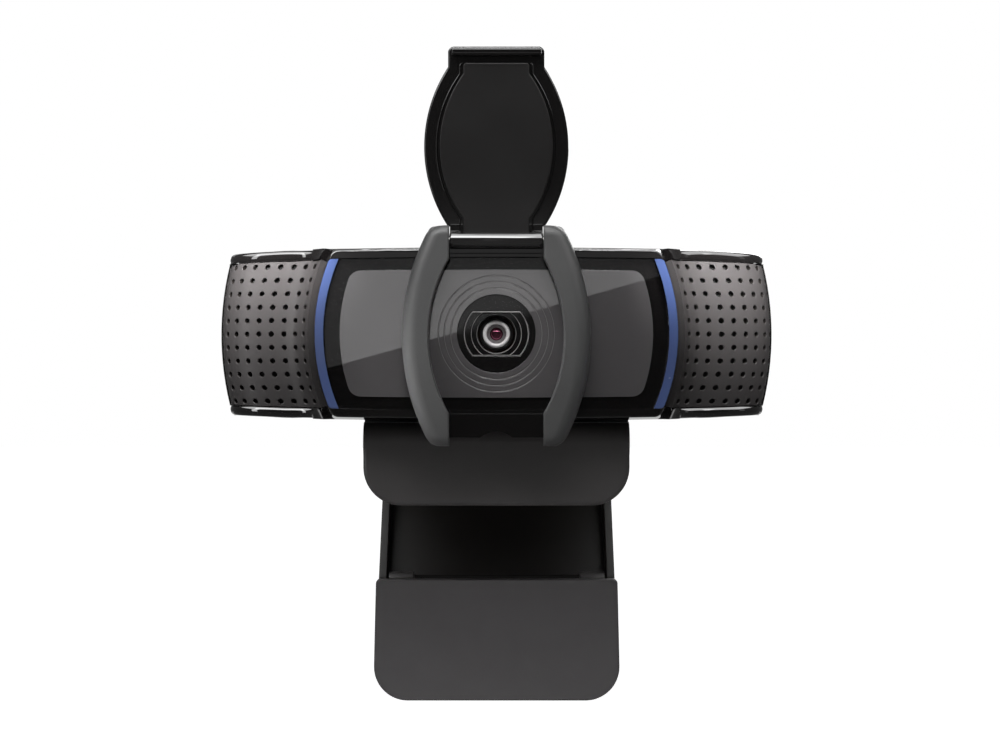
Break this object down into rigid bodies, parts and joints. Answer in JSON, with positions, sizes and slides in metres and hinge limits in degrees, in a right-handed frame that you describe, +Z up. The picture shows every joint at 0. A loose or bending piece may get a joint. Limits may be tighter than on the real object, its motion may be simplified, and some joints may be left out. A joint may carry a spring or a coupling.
{
  "type": "webcam on monitor clip",
  "caption": "Wide webcam with perforated wings, a glass front, a flip-up privacy shutter over the lens, and a folding monitor clip with a tripod thread in its plate.",
  "frame": {"origin": "centre of the tripod thread's mouth, on the underside of the clip plate", "axes": "+X to the viewer's right, +Y away from the viewer, +Z up; the lens looks along -Y"},
  "size_m": [0.094, 0.073, 0.1137],
  "materials": {
    "gloss_black_abs": "gloss",
    "clear_window": "gloss",
    "mask_black": "satin",
    "panel_grey": "satin",
    "hood_black": "matte",
    "grille_grey": "satin",
    "cloth_black": "matte",
    "guide_blue": "satin",
    "led_white": "gloss",
    "board_green": "satin",
    "can_tin": "satin",
    "header_white": "satin",
    "sensor_dark": "gloss",
    "filter_tint": "gloss",
    "lens_glass": "gloss",
    "lens_black": "satin",
    "retainer_bright": "satin",
    "coil_copper": "gloss",
    "magnet_nickel": "satin",
    "mic_can": "satin",
    "rubber_black": "matte",
    "screw_black": "satin",
    "steel_bright": "satin",
    "bracket_steel": "satin",
    "shutter_grey": "matte",
    "flap_black": "satin",
    "clip_black": "satin",
    "pad_rubber": "matte",
    "brass": "satin",
    "washer_nylon": "satin"
  },
  "bodies": {
    "clip": {"clip_base": "clip_black", "lip_pad": "pad_rubber", "seat_pad": "pad_rubber", "tripod_insert": "brass", "tilt_pin": "steel_bright", "tilt_washers": "washer_nylon", "leg_pin": "steel_bright"},
    "head": {"rear_housing": "gloss_black_abs", "front_frame": "gloss_black_abs", "front_window": "clear_window", "window_mask": "mask_black", "face_panel": "panel_grey", "lens_hood": "hood_black", "left_grille": "grille_grey", "right_grille": "grille_grey", "left_grille_cloth": "cloth_black", "right_grille_cloth": "cloth_black", "left_light_guide": "guide_blue", "right_light_guide": "guide_blue", "status_leds": "led_white", "main_board": "board_green", "shield_can": "can_tin", "cable_header": "header_white", "image_sensor": "sensor_dark", "ir_filter": "filter_tint", "focus_housing": "lens_black", "focus_magnets": "magnet_nickel", "left_microphone": "mic_can", "right_microphone": "mic_can", "left_mic_boot": "rubber_black", "right_mic_boot": "rubber_black", "cable_gland": "rubber_black", "housing_screws": "screw_black", "tilt_bracket": "bracket_steel", "shutter_frame": "shutter_grey", "shutter_pin": "steel_bright"},
    "lens": {"lens_barrel": "lens_black", "lens_retainer": "retainer_bright", "front_lens": "lens_glass", "rear_lens": "lens_glass", "focus_coil": "coil_copper"},
    "shutter": {"shutter_flap": "flap_black"},
    "leg": {"clip_leg": "clip_black", "foot_pin": "steel_bright"},
    "foot": {"clip_foot": "clip_black", "foot_pad": "pad_rubber"}
  },
  "joints": [
    {"name": "head_tilt", "type": "hinge", "parent": "clip", "child": "head", "pos_m": [0, -0.025, 0.003], "axis": [1, 0, 0], "range_deg": [-20, 30]},
    {"name": "lens_focus", "type": "slide", "parent": "head", "child": "lens", "axis": [0, -1, 0], "range_m": [0, 0.00035]},
    {"name": "shutter_flip", "type": "hinge", "parent": "head", "child": "shutter", "pos_m": [0, -0.03855, 0.0365], "axis": [1, 0, 0], "range_deg": [0, 180]},
    {"name": "leg_fold", "type": "hinge", "parent": "clip", "child": "leg", "pos_m": [0, 0.03, -0.0049], "axis": [1, 0, 0], "range_deg": [-42, 100]},
    {"name": "foot_tilt", "type": "hinge", "parent": "leg", "child": "foot", "pos_m": [0, 0.01152, -0.02417], "axis": [1, 0, 0], "range_deg": [-45, 45]}
  ]
}
